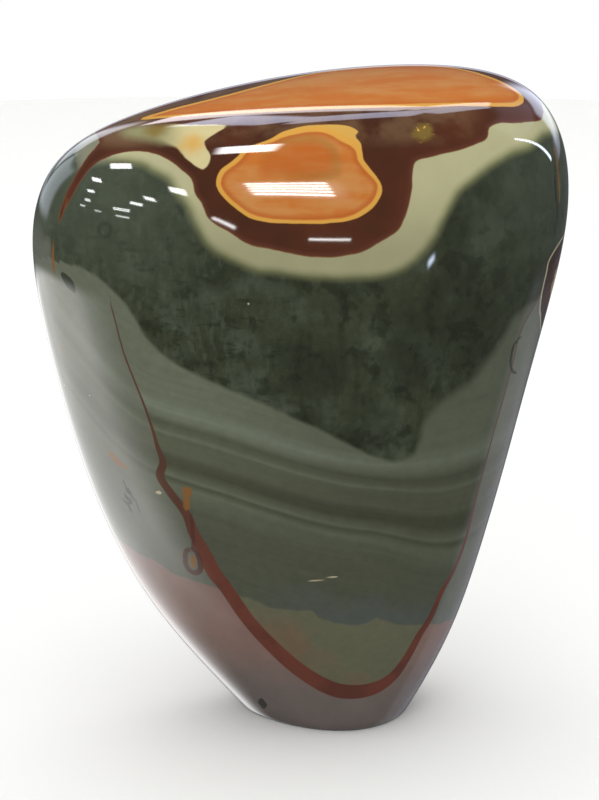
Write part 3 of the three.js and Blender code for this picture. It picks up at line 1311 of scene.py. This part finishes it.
@dataclass
class Studio:
    """The pale floor, the lights and the camera."""

    floor_radius: float = 1.2
    floor_corners: int = 96
    floor_colour: Colour = paint(238, 238, 236)
    floor_roughness: float = 0.9
    floor_gloss: float = 0.1
    backdrop_light: float = 1.0
    camera_target: Triple = (-0.0065, 0.0, 0.0953)
    camera_distance: float = 0.6
    camera_elevation: float = math.radians(17)
    lens: float = 93.6
    sensor: float = 36.0
    room_light: Colour = (0.10, 0.11, 0.12, 1.0)
    ambient_low: float = 0.76
    ambient_high: float = 1.12
    reflected: tuple[ReflectedPanel | ReflectedTube, ...] = (
        # Soft panels low on the left, behind the stone, and on the right.
        ReflectedPanel(-112, 36, 26, (-41, -17), (18, 3), (2.75, 2.75, 2.75)),
        ReflectedPanel(-94, 18, 14, (-24, -17), (8, 2), (3.5, 3.45, 3.4)),
        ReflectedPanel(180, 44, 10, (0, 5), (2, 3), (0.8, 0.8, 1.0)),
        ReflectedPanel(-117, 14, 9, (4, 29), (6, 6), (2.1, 2.3, 2.6)),
        ReflectedPanel(-152, 9, 4, (14, 28), (5, 4), (2.2, 2.3, 2.6)),
        ReflectedPanel(150, 11, 8, (6, 22), (6, 5), (2.0, 2.2, 2.7)),
        ReflectedPanel(134, 20, 12, (-56, -24), (10, 6), (0.34, 0.34, 0.4)),
        ReflectedPanel(115, 26, 12, (30, 50), (6, 8), (0.5, 0.5, 0.64)),
        # The upper streak along the crest of the front, then the lower one.
        ReflectedTube((-0.25, 0.81, 0.53), (0.08, 0.5, 0.862), 0.045, (5.2, 4.7, 5.0), 0.012),
        ReflectedTube((0.06, 0.505, 0.861), (0.33, 0.55, 0.767), 0.045, (4.8, 4.4, 4.8), 0.014),
        ReflectedTube((-0.222, 0.684, 0.695), (-0.13, 0.425, 0.895), 0.06, (3.6, 3.9, 5.0), 0.015),
        ReflectedTube((-0.13, 0.425, 0.895), (0.12, 0.365, 0.923), 0.085, (3.6, 3.9, 5.0), 0.015),
        ReflectedTube((0.12, 0.365, 0.923), (0.33, 0.51, 0.794), 0.085, (3.4, 3.6, 4.4), 0.015),
        # The arc and the star on the right.
        ReflectedTube((0.932, -0.09, 0.545), (0.945, 0.49, 0.06), 0.014, (16, 18, 21), 0.014),
        ReflectedTube((0.415, -0.899, -0.132), (0.445, -0.886, -0.115), 0.009, (14, 16, 20), 0.012),
        # The ceiling lamp, then the lamp of five strips in its glow, then two low bars.
        ReflectedTube((-0.362, -0.315, 0.877), (-0.21, -0.407, 0.885), 0.1, (24, 24, 24), 0.022, 0.35),
        ReflectedTube((-0.3, -0.9, 0.31), (0.02, -0.966, 0.255), 0.07, (1.9, 2.0, 2.2), 0.045, 0.56),
        ReflectedTube((-0.284, -0.904, 0.307), (-0.018, -0.963, 0.262), 0.068, (34, 34, 34), 0.012, 0.56, 5),
        ReflectedTube((-0.075, -0.997, -0.014), (0.068, -0.997, -0.021), 0.003, (24, 24, 24), 0.004),
        ReflectedTube((-0.389, -0.917, 0.088), (-0.312, -0.948, 0.034), 0.005, (24, 24, 24), 0.008, 0.3),
        # The small lamps at the upper left.
        ReflectedTube((-0.715, -0.177, 0.676), (-0.65, -0.32, 0.687), 0.052, (24, 24, 24), 0.01, 0.96),
        ReflectedTube((-0.831, -0.26, 0.491), (-0.8, -0.37, 0.469), 0.022, (24, 24, 24), 0.008, 1.6),
        ReflectedTube((-0.871, -0.36, 0.341), (-0.841, -0.43, 0.328), 0.014, (22, 22, 22), 0.007, 1.4),
        ReflectedTube((-0.883, -0.405, 0.239), (-0.859, -0.458, 0.229), 0.011, (18, 18, 18), 0.006, 1.3),
        ReflectedTube((-0.904, -0.386, 0.184), (-0.88, -0.442, 0.173), 0.006, (14, 14, 14), 0.005, 0.4),
        ReflectedTube((-0.834, -0.533, 0.141), (-0.804, -0.581, 0.13), 0.004, (14, 14, 14), 0.005, 0.4),
        ReflectedTube((-0.545, -0.766, 0.34), (-0.487, -0.824, 0.29), 0.021, (24, 24, 24), 0.007, 1.44),
        ReflectedTube((-0.634, -0.732, 0.254), (-0.592, -0.773, 0.227), 0.012, (24, 24, 24), 0.006, 1.6),
        ReflectedTube((-0.686, -0.698, 0.21), (-0.636, -0.75, 0.183), 0.01, (22, 22, 22), 0.005, 0.5),
        ReflectedTube((-0.753, -0.639, 0.16), (-0.683, -0.718, 0.138), 0.011, (26, 26, 26), 0.003, 0.4, 2),
        ReflectedTube((-0.737, -0.668, 0.104), (-0.68, -0.728, 0.087), 0.004, (16, 16, 16), 0.004, 0.4),
    )
    lights: tuple[SoftLight, ...] = (
        SoftLight("overhead", (0.0, 0.1, 1.6), (0.0, 0.0, 0.1), (1.2, 1.2), 7.0),
        SoftLight("front_left", (-0.5, -1.2, 0.9), (0.0, 0.0, 0.1), (0.8, 0.8), 3.0),
    )

    def lay_floor(self) -> bpy.types.Object:
        """Lays the floor.

        Returns:
            The floor.
        """
        bpy.ops.mesh.primitive_circle_add(
            vertices=self.floor_corners, radius=self.floor_radius, fill_type="NGON"
        )
        floor = bpy.context.object
        floor.name = "pale_floor"
        material = bpy.data.materials.new("pale_floor")
        material.use_nodes = True
        surface = material.node_tree.nodes["Principled BSDF"]
        surface.inputs["Base Color"].default_value = self.floor_colour
        surface.inputs["Roughness"].default_value = self.floor_roughness
        surface.inputs["Specular IOR Level"].default_value = self.floor_gloss
        floor.data.materials.append(material)
        floor.visible_glossy = False
        return floor

    def light_room(self) -> None:
        """Lights the room: white behind the stone for the camera, dim for the stone."""
        world = bpy.data.worlds.new("studio")
        bpy.context.scene.world = world
        world.use_nodes = True
        world.cycles.sampling_method = "NONE"
        graph = Graph(world.node_tree)
        way = graph.out(graph.node("ShaderNodeTexCoord"), "Generated")
        rise = graph.out(graph.node("ShaderNodeSeparateXYZ", inputs={0: way}), "Z")
        height = graph.math("ARCSINE", rise) * math.degrees(1)
        room = self.room_light
        for shape in self.reflected:
            room = shape.over(graph, way, height, room)
        low, high = ((level,) * 3 + (1.0,) for level in (self.ambient_low, self.ambient_high))
        ambient = graph.blend(low, high, graph.fall(rise, 1.0, 0.0, Fade.EVEN))
        path = graph.node("ShaderNodeLightPath")
        shown = graph.blend(ambient, room, graph.out(path, "Is Glossy Ray"))
        backdrop = (self.backdrop_light,) * 3 + (1.0,)
        shown = graph.blend(shown, backdrop, graph.out(path, "Is Camera Ray"))
        sky = graph.node("ShaderNodeBackground", inputs={"Color": shown})
        output = graph.node("ShaderNodeOutputWorld")
        graph.tree.links.new(sky.outputs[0], output.inputs["Surface"])
        for light in self.lights:
            light.hang()

    def place_camera(self) -> None:
        """Sets the camera at the photograph's angle."""
        data = bpy.data.cameras.new("camera")
        data.lens = self.lens
        data.sensor_width = self.sensor
        camera = bpy.data.objects.new("camera", data)
        target = Vector(self.camera_target)
        towards = Vector((0, -math.cos(self.camera_elevation), math.sin(self.camera_elevation)))
        camera.location = target + towards * self.camera_distance
        camera.rotation_euler = (-towards).to_track_quat("-Z", "Y").to_euler()
        bpy.context.scene.collection.objects.link(camera)
        bpy.context.scene.camera = camera

    def build(self) -> None:
        """Sets up the whole studio."""
        self.place_camera()
        self.lay_floor()
        self.light_room()
        bpy.context.scene.view_settings.view_transform = "Standard"


def main() -> None:
    """Builds the stone and the studio."""
    logging.basicConfig(level=logging.INFO, format="%(message)s")
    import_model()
    Studio().build()
    piece = Stone().build()
    log.info("%s: %d vertices", piece.name, len(piece.data.vertices))


if __name__ == "__main__":
    main()
